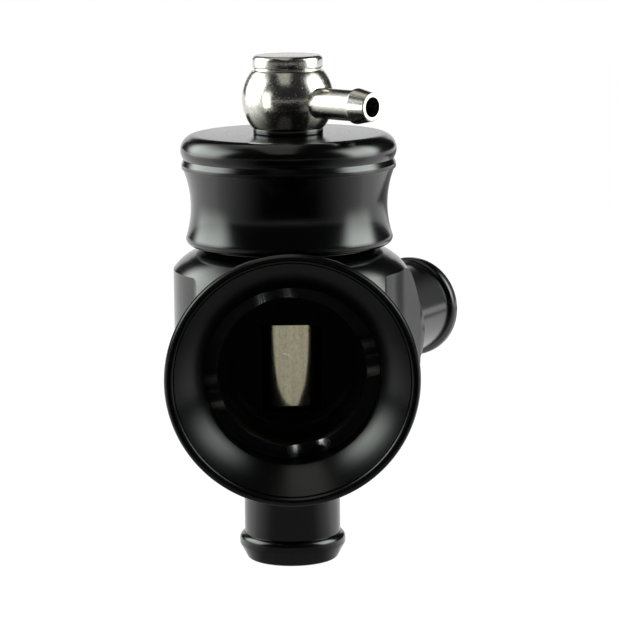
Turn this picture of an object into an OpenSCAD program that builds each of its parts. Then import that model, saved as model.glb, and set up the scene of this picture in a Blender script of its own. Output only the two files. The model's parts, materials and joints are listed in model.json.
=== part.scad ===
// Piston blow off valve with a front trumpet, an inlet hose tail below and a recirculation hose tail behind.
// The origin is on the valve axis, at the face of the inlet tail's flange where the hose stops.
// +Z runs up the valve axis and the trumpet opens towards -Y.

/* [Body] */
// Diameter of the turned valve body
body_d = 60; // [58:0.5:64]
// Half height of the body between its two crisp shoulder edges
shoulder_edge_h = 21.5; // [21:0.1:24]
// Radius of the convex turned shoulder
shoulder_round = 13; // [11:0.5:14]
// Slope of the boss roofs below the shoulder, from level
shoulder_slope = 55; // [52:1:58]
// Width of the boss that carries the trumpet
front_boss_w = 47.4; // [46:0.2:50]
// Distance of the trumpet's seat from the valve axis
front_face = 29; // [28:0.5:31]
// Fillet where the front boss meets the body
front_fillet = 6; // [4:0.5:7]
// Width of the end of the recirculation boss
side_boss_w = 43; // [42:0.5:46]
// Distance of the recirculation tail's seat from the valve axis
side_face = 33.5; // [32:0.5:35]
// Turn of the recirculation port from straight back towards +X
recirc_yaw = 28; // [25:1:40]
// Wall of the threaded neck around the piston
neck_wall = 7.1; // [6:0.1:7.6]

/* [Valve] */
// Diameter of the piston
piston_d = 30; // [28:0.5:31]
// Lift of the piston from its seat to fully open
piston_lift = 10; // [6:0.5:11]
// Length of the piston
piston_l = 42.7; // [41:0.5:44]
// Thickness of the piston's floor
piston_floor_t = 4; // [3:0.1:5]
// Wall of the piston's skirt
piston_wall = 2.4; // [2.2:0.1:3]
// Height of the valve seat below the port axis
seat_drop = 13.4; // [12.5:0.1:14]
// Height of the chamber's roof above the port axis
chamber_roof = 9.2; // [7:0.1:10]
// Width of the flow space around the piston
chamber_gap = 4.5; // [4:0.1:5]
// Diameter of the flow holes to the two hose tails
flow_d = 23; // [21:0.5:24]
// Diameter of the spring's wire
spring_wire_d = 2.1; // [1.6:0.1:2.4]
// Number of turns of the spring
spring_turns = 9; // [7:1:11]

/* [Cap] */
// Largest diameter of the cap, at its top edge
cap_d = 55.5; // [55:0.5:58]
// Diameter of the cap's waist
cap_waist_d = 50.6; // [50.2:0.1:52]
// Height of the cap
cap_h = 28.5; // [28:0.1:30]
// Radius of the cap's upper edge
cap_edge_round = 4; // [3:0.1:4.5]
// Thickness of the cap's top
cap_top_t = 4; // [3.5:0.1:5]
// Height of the cap's lower edge above the body's shoulder
cap_gap = 0.6; // [0.3:0.1:1]

/* [Signal fitting] */
// Diameter of the banjo's ball
ball_d = 23.5; // [22:0.5:25]
// Height of the ball between its two flats
ball_h = 14.4; // [13:0.1:15]
// Turn of the nipple from the trumpet's direction towards +X
nipple_yaw = 45; // [0:5:90]
// Distance of the nipple's tip from the valve axis
nipple_reach = 29.5; // [27:0.5:34]
// Height of the nipple's axis below the ball's middle
nipple_drop = 0.5; // [0:0.1:1]
// Outside diameter of the nipple's tube
nipple_d = 7.8; // [7:0.1:8]
// Bore of the nipple
nipple_bore = 5.1; // [4:0.1:5.2]
// Diameter of the banjo bolt's head
bolt_head_d = 18; // [16:0.5:19]
// Height of the banjo bolt's head
bolt_head_h = 3.1; // [2.8:0.1:4]
// Diameter of the banjo bolt's shank
bolt_d = 9.8; // [9:0.1:10]

/* [Hose tails] */
// Outside diameter of the hose tails
tail_od = 25; // [24.5:0.1:25.5]
// Wall of the hose tails
tail_wall = 1.7; // [1.6:0.1:1.8]
// Plain length of the inlet tail, from the hose stop to the bead
inlet_plain_l = 16.9; // [15:0.5:24]
// Plain length of the recirculation tail
recirc_plain_l = 33.7; // [24:0.1:36]
// Height of the bead above the tube
bead_h = 1.3; // [1:0.1:1.6]
// Length of the bead and its lead-in
bead_l = 7; // [6:0.5:9]
// Diameter of the inlet tail's flange
inlet_flange_d = 33; // [31:0.5:36]
// Diameter of the recirculation tail's flange
recirc_flange_d = 42; // [38:0.5:43]
// Thickness of each tail's flange
flange_t = 3.5; // [3:0.1:4]
// Height of the raised seat under each flange
flange_seat_t = 0.8; // [0.6:0.1:1]
// Length of the threaded spigot that holds each tail
spigot_l = 9.4; // [8.5:0.1:9.4]

/* [Trumpet] */
// Largest diameter of the trumpet's lip
trumpet_d = 62.9; // [62:0.1:66]
// Distance of the trumpet's lip from the valve axis
trumpet_reach = 46; // [45:0.5:48]
// Diameter of the trumpet's throat where the bell ends
throat_d = 44.2; // [44:0.1:45]
// Radius of the lip's round
lip_round = 1.25; // [1.1:0.05:1.5]
// Wall of the bell
bell_wall = 2.3; // [1.8:0.1:2.5]
// Width of the ring nut's face, from its bore to the trumpet's throat
nut_face_w = 3.4; // [3.2:0.1:3.8]
// Slope of the bell where it leaves the throat, in degrees from the port's axis
bell_start = 42; // [36:1:48]
// Slope of the bell where it meets the lip
bell_end = 58; // [54:1:62]
// Width of the four grooves across the ring nut
nut_groove_w = 10.6; // [8:0.2:11]
// Turn of the ring nut's grooves
nut_turn = 12; // [0:1:89]

/* [Hidden] */
$fn = 96;

// Clearances: a thread or spigot in its hole, a sliding piston in its bore, a soft ring in its groove
thread_gap = 0.1;
slide_gap = 0.3;
ring_gap = 0.05;
// Overrun of a cut past the face that it opens, and lap of two shapes that are one piece
cut = 1;
// Chamfer of a turned edge
edge_break = 0.6;

// Finishes as the solids show them
anodised = "#16171a";
nickel = "#c9c7c0";
champagne = "#b3aa97";
rubber = "#222222";
steel = "#8d9196";
polymer = "#d9d4c4";

// Body heights, above and below the port axis
body_r = body_d / 2;
shoulder_r = body_r - shoulder_round * sin(shoulder_slope);
shoulder_z = shoulder_edge_h - shoulder_round * cos(shoulder_slope);
body_half_h = shoulder_z + shoulder_round;
collar_t = flange_seat_t + flange_t;
port_h = collar_t + body_half_h;
roof_r = max(norm([front_face, front_boss_w / 2]), norm([side_face, side_boss_w / 2])) + cut;
roof_z = shoulder_edge_h - (roof_r - body_r) * tan(shoulder_slope);
recirc_azimuth = 90 - recirc_yaw;

// Valve bores and heights, from the port axis
guide_r = piston_d / 2 + slide_gap;
chamber_r = piston_d / 2 + chamber_gap;
seal_d = 1.8;
seal_proud = 0.4;
piston_bottom = slide_gap + seal_proud - seat_drop;
piston_top = piston_bottom + piston_l;
piston_cup_floor = piston_bottom + piston_floor_t;
piston_cup_r = piston_d / 2 - piston_wall;
seat_land = 0.3;
seat_seal_r = (flow_d + piston_d) / 4 - seat_land;

// Rings on the piston's skirt, measured down from its top
wear_ring_drop = 6;
wear_ring_h = 4;
wear_ring_t = 1.2;
piston_seal_drop = 10;
ring_proud = 0.1;

// The neck ends where the lifted piston stops under the cap
neck_r = guide_r + neck_wall;
neck_top = piston_top + piston_lift + slide_gap;
neck_seal_drop = 3;
neck_seal_d = 1.9;
neck_seal_l = 2.4;

// Hose tails: the spigot, its seal, the dark gap under the flange, and the bead
spigot_wall = 1.5;
spigot_r = tail_od / 2 + spigot_wall;
spigot_hole_r = spigot_r + thread_gap;
spigot_hole_l = spigot_l + thread_gap;
tail_bore_r = tail_od / 2 - tail_wall;
tail_seal_d = 1.6;
tail_seal_l = 2.2;
tail_seal_root = 0.6;
flange_undercut = 2.6;
bead_round = bead_h + 0.4;
bead_land = 1.2;
tip_draw = 0.7;

// Trumpet, its ring nut and its seal, measured along the port from the valve axis
throat_hole_d = 31.8;
throat_lap = 1.5;
throat_floor = chamber_r - throat_lap;
throat_rise = 4.4;
throat_edge = front_face + throat_rise;
trumpet_seat_t = 2;
nut_seat = front_face + trumpet_seat_t;
nut_wall = 1.2;
nut_bore = throat_d - 2 * nut_face_w;
nut_spigot_r = nut_bore / 2 + nut_wall;
nut_spigot_l = 7.8;
nut_flange_r = throat_d / 2 - 2 * thread_gap;
nut_hole_r = nut_spigot_r + thread_gap;
nut_floor = nut_seat - nut_spigot_l - slide_gap;
nut_groove_depth = 2.2;
nut_groove_r = (pow(nut_groove_w / 2, 2) + pow(nut_groove_depth, 2)) / (2 * nut_groove_depth);
bell_rise = trumpet_d / 2 - 2 * lip_round - throat_d / 2;
bell_r = bell_rise / (cos(bell_start) - cos(bell_end));
bell_run = bell_r * (sin(bell_end) - sin(bell_start));
bell_foot = trumpet_reach - lip_round - bell_run;
hub_r = throat_d / 2 + 3.4;
trumpet_seal_d = 1.2;
trumpet_seal_r = throat_d / 2 - trumpet_seal_d / 2 - thread_gap;

// Cap heights, from the port axis
cap_bottom = body_half_h + cap_gap;
cap_top = cap_bottom + cap_h;
cap_ceiling = cap_top - cap_top_t;
cap_r = cap_d / 2;
cap_edge_z = cap_top - cap_edge_round;
cap_groove_fall = 2.3;
cap_groove_z = cap_edge_z - cap_groove_fall;
cap_groove_r = cap_r - cap_edge_round + sqrt(pow(cap_edge_round, 2) - pow(cap_groove_fall, 2));
cap_bead_r = cap_r - 0.2;
cap_bead_z = cap_groove_z - 1.3;
cap_bead_low = cap_bead_z - 1.2;
cap_waist_z = cap_bottom + 10.1;
cap_sweep = 25.5;
cap_lower_round = 1.9;
cap_skirt_z = cap_bottom + cap_lower_round;
cap_skirt_r = cap_waist_d / 2 + cap_sweep - sqrt(pow(cap_sweep, 2) - pow(cap_waist_z - cap_skirt_z, 2));
cap_thread_r = neck_r + thread_gap;
cap_boss_r = bolt_d / 2 + 3.6;
cap_boss_l = 5;
lift_stop_r = piston_cup_r + cut;

// Signal fitting heights, from the port axis
lower_washer_t = 1.6;
upper_washer_t = 0.8;
washer_gap = 0.05;
ball_bottom = cap_top + lower_washer_t + washer_gap;
ball_mid = ball_bottom + ball_h / 2;
ball_top = ball_bottom + ball_h;
bolt_seat = ball_top + washer_gap + upper_washer_t;
bolt_end = cap_ceiling - cap_boss_l + edge_break;
bolt_rim = 1;
bolt_bore_d = 4;
bolt_cross_d = 3;
bolt_hole_r = bolt_d / 2 + thread_gap;
washer_bore_r = bolt_d / 2 + slide_gap;
banjo_bore_r = washer_bore_r + 0.15;
banjo_gallery_r = banjo_bore_r + 2.6;
banjo_gallery_h = 6;
barb_l = 5.3;
barb_land = 0.6;
barb_d = nipple_d + 1.2;
barb_tip_d = nipple_d - 0.7;

// Spring between the piston's floor and the washer under the cap
spring_washer_t = 1.2;
spring_top = cap_ceiling - spring_washer_t;
spring_r = piston_cup_r - slide_gap - spring_wire_d / 2;
spring_l = spring_top - piston_cup_floor;
closed_turns = 1;
wire_sides = 8;
steps_per_turn = 20;

// Moves a port's own frame, drawn along +Z from the valve axis, onto the recirculation direction
module to_recirc() {
    translate([0, 0, port_h]) rotate([0, 90, recirc_azimuth]) children();
}

// The same for the trumpet, whose port points along -Y
module to_trumpet() {
    translate([0, 0, port_h]) rotate([90, 0, 0]) children();
}

// Moves what is drawn from the port axis up to its height
module at_port() {
    translate([0, 0, port_h]) children();
}

// A round cord bent into a ring
module o_ring(mid_r, cord_d) {
    rotate_extrude() translate([mid_r, 0]) circle(d = cord_d, $fn = 32);
}

module washer(outer_r, inner_r, t) {
    difference() {
        cylinder(r = outer_r, h = t);
        translate([0, 0, -cut]) cylinder(r = inner_r, h = t + 2 * cut);
    }
}

// Upper half of the turned body: the roof cone, the convex shoulder and the flat round the neck
module shoulder_profile() {
    polygon([[0, 0], [roof_r, 0], [roof_r, roof_z], [body_r, shoulder_edge_h],
             [shoulder_r, body_half_h], [0, body_half_h]]);
    intersection() {
        translate([shoulder_r, shoulder_z]) circle(r = shoulder_round);
        square([roof_r, body_half_h]);
    }
}

// Concave corner between the round body and one side of the front boss
module boss_fillet() {
    wall = front_boss_w / 2;
    centre = [wall + front_fillet, -sqrt(pow(body_r + front_fillet, 2) - pow(wall + front_fillet, 2))];
    touch = centre * body_r / (body_r + front_fillet);
    difference() {
        polygon([[wall - cut, centre[1]], [wall, centre[1]], centre, touch,
                 touch * (body_r - cut) / body_r]);
        translate(centre) circle(r = front_fillet);
    }
}

// Plan of the body: the round barrel, the front boss and the boss that tapers out to the recirculation tail
module plan() {
    side = side_boss_w / 2;
    tangent = atan2(side, side_face) + acos(body_r / norm([side_face, side]));
    difference() {
        circle(d = body_d);
        translate([-body_r, -front_face - body_r]) square([body_d, body_r]);
    }
    translate([-front_boss_w / 2, -front_face]) square([front_boss_w, front_face]);
    for (hand = [0, 1]) mirror([hand, 0]) boss_fillet();
    rotate(recirc_azimuth)
        polygon([[0, 0], body_r * [cos(tangent), -sin(tangent)], [side_face, -side], [side_face, side],
                 body_r * [cos(tangent), sin(tangent)]]);
}

module body() {
    color(anodised) difference() {
        union() {
            intersection() {
                at_port() rotate_extrude() {
                    shoulder_profile();
                    mirror([0, 1]) shoulder_profile();
                }
                at_port() translate([0, 0, -body_half_h]) linear_extrude(2 * body_half_h) plan();
            }
            at_port() cylinder(r = neck_r, h = neck_top);
        }
        at_port() {
            // Guide bore, flow chamber and the hole through the seat
            cylinder(r = guide_r, h = neck_top + cut);
            translate([0, 0, -seat_drop]) cylinder(r = chamber_r, h = seat_drop + chamber_roof);
            translate([0, 0, -body_half_h - cut]) cylinder(d = flow_d, h = body_half_h);
            // Threaded hole of the inlet tail
            translate([0, 0, -body_half_h - cut]) cylinder(r = spigot_hole_r, h = spigot_hole_l + cut);
            // Groove of the cap's seal
            translate([0, 0, neck_top - neck_seal_drop - neck_seal_l / 2])
                washer(neck_r + cut, neck_r - neck_seal_d, neck_seal_l);
        }
        to_recirc() {
            cylinder(d = flow_d, h = side_face + cut);
            translate([0, 0, side_face - spigot_hole_l]) cylinder(r = spigot_hole_r, h = spigot_hole_l + cut);
        }
        to_trumpet() {
            translate([0, 0, throat_floor]) cylinder(d = throat_hole_d, h = front_face);
            translate([0, 0, nut_floor]) cylinder(r = nut_hole_r, h = front_face);
        }
    }
}

// Rectangle between two corners of a half section
module square_from(r0, z0, r1, z1) {
    translate([r0, z0]) square([r1 - r0, z1 - z0]);
}

// Half section of the cap's top disc with its large round edge
module cap_disc() {
    edge = cap_r - cap_edge_round;
    square_from(0, cap_waist_z, edge, cap_top);
    translate([edge, cap_edge_z]) circle(r = cap_edge_round);
}

// Half section of the bead below the groove
module cap_bead() {
    polygon([[0, cap_groove_z], [cap_groove_r - ring_gap, cap_groove_z], [cap_bead_r, cap_bead_z],
             [cap_bead_r, cap_bead_low - ring_gap], [0, cap_bead_low - ring_gap]]);
}

// Half section of the skirt with its swept waist
module cap_skirt() {
    difference() {
        union() {
            square_from(0, cap_skirt_z, cap_bead_r, cap_bead_low);
            square_from(0, cap_bottom, cap_skirt_r - cap_lower_round, cap_waist_z);
            translate([cap_skirt_r - cap_lower_round, cap_skirt_z]) circle(r = cap_lower_round, $fn = 48);
        }
        intersection() {
            translate([cap_waist_d / 2 + cap_sweep, cap_waist_z]) circle(r = cap_sweep);
            square_from(0, cap_skirt_z, 2 * cap_r, cap_top);
        }
    }
}

module cap() {
    color(anodised) at_port() difference() {
        union() {
            rotate_extrude() cap_disc();
            rotate_extrude() cap_bead();
            rotate_extrude() cap_skirt();
        }
        translate([0, 0, cap_bottom - cut]) cylinder(r = cap_thread_r, h = neck_top - cap_bottom + cut);
        // Spring pocket, narrower than the piston so that the cap stops its lift
        difference() {
            translate([0, 0, cap_bottom]) cylinder(r = lift_stop_r, h = cap_ceiling - cap_bottom);
            translate([0, 0, cap_ceiling - cap_boss_l]) cylinder(r = cap_boss_r, h = cap_boss_l);
        }
        translate([0, 0, cap_bottom]) cylinder(r = bolt_hole_r, h = cap_h + cut);
    }
}

module cap_o_ring() {
    color(rubber) at_port() translate([0, 0, neck_top - neck_seal_drop])
        o_ring(neck_r - neck_seal_d / 2 + ring_gap, neck_seal_d);
}

module banjo_bolt() {
    head_r = bolt_head_d / 2;
    head_top = bolt_seat + bolt_head_h;
    color(nickel) at_port() difference() {
        union() {
            rotate_extrude() {
                square_from(0, bolt_seat, head_r, head_top - bolt_rim);
                square_from(0, bolt_seat, head_r - bolt_rim, head_top);
                translate([head_r - bolt_rim, head_top - bolt_rim]) circle(r = bolt_rim, $fn = 48);
            }
            translate([0, 0, bolt_end]) cylinder(d = bolt_d, h = bolt_seat - bolt_end + bolt_rim);
        }
        // Signal passage up the shank and across to the ball's gallery
        translate([0, 0, bolt_end - cut]) cylinder(d = bolt_bore_d, h = ball_mid - bolt_end + bolt_bore_d);
        translate([0, 0, ball_mid]) rotate([90, 0, 90])
            cylinder(d = bolt_cross_d, h = bolt_d + 2 * cut, center = true);
    }
}

module upper_washer() {
    color(nickel) at_port() translate([0, 0, ball_top + washer_gap])
        washer(bolt_head_d / 2 - slide_gap, washer_bore_r, upper_washer_t);
}

module lower_washer() {
    color(anodised) at_port() translate([0, 0, cap_top])
        washer(bolt_head_d / 2, washer_bore_r, lower_washer_t);
}

// Places what is drawn along +Z on the nipple's axis
module to_nipple() {
    translate([0, 0, -nipple_drop]) rotate([0, 90, nipple_yaw - 90]) children();
}

module banjo_fitting() {
    color(nickel) at_port() translate([0, 0, ball_mid]) difference() {
        union() {
            intersection() {
                sphere(d = ball_d);
                cylinder(d = ball_d, h = ball_h, center = true);
            }
            to_nipple() {
                cylinder(d = nipple_d, h = nipple_reach - barb_l);
                translate([0, 0, nipple_reach - barb_l]) cylinder(d = barb_d, h = barb_land);
                translate([0, 0, nipple_reach - barb_l + barb_land])
                    cylinder(d1 = barb_d, d2 = barb_tip_d, h = barb_l - barb_land);
            }
        }
        cylinder(r = banjo_bore_r, h = ball_h + 2 * cut, center = true);
        cylinder(r = banjo_gallery_r, h = banjo_gallery_h, center = true);
        to_nipple() cylinder(d = nipple_bore, h = nipple_reach + cut);
    }
}

// Point of the spring's centre line after so many turns, with closed turns at both ends
function coil_z(turn) =
    let (open = spring_turns - 2 * closed_turns,
         wire = spring_wire_d,
         lift = spring_l - 3 * wire)
    turn < closed_turns ? wire / 2 + wire * turn :
    turn > spring_turns - closed_turns ? spring_l - wire / 2 - wire * (spring_turns - turn) :
    1.5 * wire + lift * (turn - closed_turns) / open;

function wire_ring(turn) =
    [for (side = [0:wire_sides - 1])
        let (a = 360 * side / wire_sides, r = spring_r + spring_wire_d / 2 * cos(a))
        [r * cos(360 * turn), r * sin(360 * turn), coil_z(turn) + spring_wire_d / 2 * sin(a)]];

module spring() {
    rings = spring_turns * steps_per_turn;
    points = [for (i = [0:rings]) each wire_ring(i / steps_per_turn)];
    sides = [for (i = [0:rings - 1], s = [0:wire_sides - 1])
        let (next = (s + 1) % wire_sides, low = i * wire_sides, high = low + wire_sides)
        each [[low + s, high + s, high + next], [low + s, high + next, low + next]]];
    start = [for (s = [0:wire_sides - 1]) s];
    end = [for (s = [wire_sides - 1:-1:0]) rings * wire_sides + s];
    color(steel) at_port() translate([0, 0, piston_cup_floor])
        polyhedron(points, concat(sides, [start], [end]));
}

module spring_washer() {
    color(steel) at_port() translate([0, 0, spring_top])
        washer(lift_stop_r - slide_gap, cap_boss_r + slide_gap, spring_washer_t);
}

module piston() {
    skirt_r = piston_d / 2;
    color(champagne) at_port() difference() {
        rotate_extrude()
            polygon([[0, piston_bottom], [skirt_r - edge_break, piston_bottom],
                     [skirt_r, piston_bottom + edge_break], [skirt_r, piston_top], [0, piston_top]]);
        translate([0, 0, piston_cup_floor]) cylinder(r = piston_cup_r, h = piston_l);
        translate([0, 0, piston_top - wear_ring_drop])
            washer(skirt_r + cut, skirt_r - wear_ring_t, wear_ring_h);
        translate([0, 0, piston_top - piston_seal_drop - seal_d / 2 - ring_gap])
            washer(skirt_r + cut, skirt_r + ring_proud - seal_d - ring_gap, seal_d + 2 * ring_gap);
        translate([0, 0, piston_bottom - cut])
            washer(seat_seal_r + seal_d / 2 + ring_gap, seat_seal_r - seal_d / 2 - ring_gap,
                   cut + seal_d - seal_proud + ring_gap);
    }
}

module piston_wear_ring() {
    color(polymer) at_port() translate([0, 0, piston_top - wear_ring_drop + ring_gap])
        washer(piston_d / 2 + ring_proud, piston_d / 2 - wear_ring_t + ring_gap, wear_ring_h - 2 * ring_gap);
}

module piston_o_ring() {
    color(rubber) at_port() translate([0, 0, piston_top - piston_seal_drop])
        o_ring(piston_d / 2 + ring_proud - seal_d / 2, seal_d);
}

module piston_seat_o_ring() {
    color(rubber) at_port() translate([0, 0, piston_bottom - seal_proud + seal_d / 2])
        o_ring(seat_seal_r, seal_d);
}

// A hose tail, drawn outwards along +Z from its seat on the body
module hose_tail(plain_l, flange_d) {
    tube_r = tail_od / 2;
    bead_r = tube_r + bead_h;
    step = collar_t + plain_l;
    tip = step + bead_l;
    tip_r = tube_r - tip_draw;
    difference() {
        union() {
            translate([0, 0, -spigot_l]) cylinder(r = spigot_r, h = spigot_l + cut);
            cylinder(d = flange_d - 2 * flange_undercut, h = collar_t);
            translate([0, 0, flange_seat_t]) cylinder(d = flange_d, h = flange_t);
            cylinder(r = tube_r, h = step + bead_round);
            rotate_extrude() {
                translate([bead_r - bead_round, step + bead_round]) circle(r = bead_round, $fn = 48);
                polygon([[0, step + bead_round], [bead_r, step + bead_round],
                         [bead_r, step + bead_round + bead_land], [tip_r, tip - edge_break],
                         [tip_r - edge_break, tip], [0, tip]]);
            }
        }
        translate([0, 0, -spigot_l - cut]) cylinder(r = tail_bore_r, h = tip + spigot_l + 2 * cut);
        translate([0, 0, -tail_seal_root - tail_seal_l])
            washer(spigot_r + cut, spigot_r - tail_seal_d, tail_seal_l);
    }
}

module tail_o_ring() {
    translate([0, 0, -tail_seal_root - tail_seal_l / 2])
        o_ring(spigot_r - tail_seal_d / 2 + ring_gap, tail_seal_d);
}

// The inlet tail hangs from the body's underside and the recirculation tail leaves its boss
module at_inlet() {
    translate([0, 0, collar_t]) rotate([180, 0, 0]) children();
}

module at_recirc() {
    to_recirc() translate([0, 0, side_face]) children();
}

module inlet_tail() {
    color(anodised) at_inlet() hose_tail(inlet_plain_l, inlet_flange_d);
}

module inlet_o_ring() {
    color(rubber) at_inlet() tail_o_ring();
}

module recirc_tail() {
    color(anodised) at_recirc() hose_tail(recirc_plain_l, recirc_flange_d);
}

module recirc_o_ring() {
    color(rubber) at_recirc() tail_o_ring();
}

// Bell of the trumpet, drawn along +Z away from the valve axis
module trumpet() {
    lip_r = trumpet_d / 2 - lip_round;
    lip_z = trumpet_reach - lip_round;
    seal_half = trumpet_seal_d / 2 + ring_gap;
    color(anodised) to_trumpet() difference() {
        rotate_extrude() {
            intersection() {
                translate([throat_d / 2 + bell_r * cos(bell_start), bell_foot - bell_r * sin(bell_start)])
                    difference() {
                        circle(r = bell_r);
                        circle(r = bell_r - bell_wall);
                    }
                square_from(0, bell_foot, lip_r, lip_z);
            }
            translate([lip_r, lip_z]) circle(r = lip_round, $fn = 48);
            square_from(throat_d / 2, front_face, hub_r, bell_foot);
            square_from(nut_hole_r + thread_gap, front_face, hub_r, nut_seat);
        }
        translate([0, 0, front_face - cut])
            washer(trumpet_seal_r + seal_half, trumpet_seal_r - seal_half, cut + trumpet_seal_d + ring_gap);
    }
}

module trumpet_o_ring() {
    color(rubber) to_trumpet() translate([0, 0, front_face + trumpet_seal_d / 2 + ring_gap / 2])
        o_ring(trumpet_seal_r, trumpet_seal_d);
}

// Grooved nut that clamps the trumpet onto the body
module trumpet_ring_nut() {
    color(anodised) to_trumpet() difference() {
        union() {
            translate([0, 0, nut_seat]) cylinder(r = nut_flange_r, h = throat_rise - trumpet_seat_t);
            translate([0, 0, nut_seat - nut_spigot_l])
                cylinder(r = nut_spigot_r, h = nut_spigot_l + edge_break);
        }
        translate([0, 0, nut_seat - nut_spigot_l - cut]) cylinder(d = nut_bore, h = front_face);
        for (quarter = [0:3]) rotate(nut_turn + 90 * quarter)
            translate([0, 0, throat_edge - nut_groove_depth + nut_groove_r])
                rotate([0, 90, 0]) cylinder(r = nut_groove_r, h = throat_d);
    }
}

body();
cap();
cap_o_ring();
banjo_bolt();
upper_washer();
banjo_fitting();
lower_washer();
spring();
spring_washer();
piston();
piston_wear_ring();
piston_o_ring();
piston_seat_o_ring();
inlet_tail();
inlet_o_ring();
recirc_tail();
recirc_o_ring();
trumpet();
trumpet_o_ring();
trumpet_ring_nut();
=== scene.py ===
# %% [markdown]
# # A piston blow off valve
# The valve sits on a turbocharged engine's intake pipe. When the throttle shuts, suction at the small nipple
# lifts a spring-loaded piston, and the trapped boost leaves through the trumpet and the rear hose tail.
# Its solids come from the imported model, which is the fixed frame of this lesson: every piece below takes its
# place and size from it, and only the looks are made here.

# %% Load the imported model
import json
import math

import bpy
from mathutils import Matrix, Vector

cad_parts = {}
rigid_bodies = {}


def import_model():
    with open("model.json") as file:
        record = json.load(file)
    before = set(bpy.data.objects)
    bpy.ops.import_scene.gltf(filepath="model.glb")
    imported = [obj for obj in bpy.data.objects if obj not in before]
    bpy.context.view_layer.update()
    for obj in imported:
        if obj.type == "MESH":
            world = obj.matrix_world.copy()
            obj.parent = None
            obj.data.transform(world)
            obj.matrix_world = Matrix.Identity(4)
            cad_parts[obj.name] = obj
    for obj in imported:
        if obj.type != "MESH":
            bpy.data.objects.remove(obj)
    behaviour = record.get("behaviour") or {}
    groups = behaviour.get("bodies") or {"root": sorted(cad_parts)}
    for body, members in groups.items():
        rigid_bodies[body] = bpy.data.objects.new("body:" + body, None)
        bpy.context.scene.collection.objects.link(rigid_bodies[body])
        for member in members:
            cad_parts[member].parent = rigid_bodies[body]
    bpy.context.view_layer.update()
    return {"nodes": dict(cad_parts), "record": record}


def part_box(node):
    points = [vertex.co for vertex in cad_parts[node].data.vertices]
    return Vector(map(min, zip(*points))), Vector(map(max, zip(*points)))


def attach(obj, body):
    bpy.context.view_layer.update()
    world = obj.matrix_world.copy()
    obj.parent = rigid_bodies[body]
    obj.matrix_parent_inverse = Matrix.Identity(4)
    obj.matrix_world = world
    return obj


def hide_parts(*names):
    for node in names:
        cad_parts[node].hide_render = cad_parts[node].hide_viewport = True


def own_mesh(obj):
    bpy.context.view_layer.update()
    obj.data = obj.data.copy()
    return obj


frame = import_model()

MM = 0.001

# %% [markdown]
# ## Sizes from the frame
# A drawing starts from a few datums. Here they are the valve axis, which is the Z axis, and the height at which
# the trumpet and the rear tail leave it. Reading them from the solids keeps the looks in step with the part.

# %% Datums


def extent(node):
    """Lowest and highest corners of a solid, in millimetres."""
    low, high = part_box(node)
    return low / MM, high / MM


trumpet_low, trumpet_high = extent("trumpet")
body_low, body_high = extent("body")
cap_low, cap_high = extent("cap")
port_h = (trumpet_low.z + trumpet_high.z) / 2
tail_foot = extent("inlet_tail")[0].z
print(f"port axis {port_h:.2f} mm up, cap top {cap_high.z:.2f} mm, tail foot {tail_foot:.2f} mm")

# %% [markdown]
# ## Helpers for turned pieces
# Nearly every piece of this valve was made on a lathe, so a half section spun round its axis is the honest way to
# model it. The section is a list of corners, and each corner carries the small radius that a turning tool or a
# tumbling drum leaves there. Those radii catch the light, so they are in the mesh and not in a bump map.

# %% Half sections


def arc(centre_r, centre_z, radius, start, end, steps=12):
    """Points on a circle between two angles in degrees."""
    angles = [math.radians(start + (end - start) * i / steps) for i in range(steps + 1)]
    return [(centre_r + radius * math.cos(a), centre_z + radius * math.sin(a)) for a in angles]


def round_corner(before, corner, after, radius, steps=5):
    """Points that round one corner of a section."""
    here = Vector(corner)
    back = (Vector(before) - here).normalized()
    ahead = (Vector(after) - here).normalized()
    half = back.angle(ahead) / 2
    centre = here + (back + ahead).normalized() * radius / math.sin(half)
    first = here + back * radius / math.tan(half) - centre
    last = here + ahead * radius / math.tan(half) - centre
    turn = first.angle_signed(last)
    rounded = []
    for i in range(steps + 1):
        spoke = first.copy()
        spoke.rotate(Matrix.Rotation(-turn * i / steps, 2))
        rounded.append(tuple(centre + spoke))
    return rounded


def section(*corners):
    """Closed half section. A corner is (r, z) or (r, z, rounding)."""
    points = []
    for i, corner in enumerate(corners):
        before, after = corners[i - 1][:2], corners[(i + 1) % len(corners)][:2]
        if len(corner) == 3:
            points += round_corner(before, corner[:2], after, corner[2])
        else:
            points.append(corner)
    return points + points[:1]


print("a rounded square has", len(section((1, 0, .1), (2, 0, .1), (2, 1, .1), (1, 1, .1))), "points")

# %% [markdown]
# A section is drawn point by point and then spun, as a blank turns in a lathe's chuck. Milling and drilling are cuts
# with a second solid, and a bevel does the work of a deburring tool.

# %% Drawing and spinning
MERGE = 0.002 * MM


def draw(name, points):
    """Start a mesh with one vertex and extrude it along the points, which stay in edit mode."""
    bpy.ops.object.select_all(action="DESELECT")
    bpy.ops.mesh.primitive_plane_add(size=MM)
    piece = bpy.context.object
    piece.name = piece.data.name = name
    bpy.ops.object.mode_set(mode="EDIT")
    bpy.ops.mesh.select_all(action="SELECT")
    bpy.ops.mesh.merge(type="CENTER")
    bpy.ops.transform.translate(value=points[0])
    for here, there in zip(points, points[1:]):
        bpy.ops.mesh.extrude_region_move(TRANSFORM_OT_translate={"value": there - here})
    bpy.ops.mesh.select_all(action="SELECT")
    return piece


def close_mesh():
    """Merge what meets, point the faces outwards and leave edit mode."""
    bpy.ops.mesh.select_all(action="SELECT")
    bpy.ops.mesh.remove_doubles(threshold=MERGE)
    bpy.ops.mesh.normals_make_consistent(inside=False)
    bpy.ops.object.mode_set(mode="OBJECT")


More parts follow.
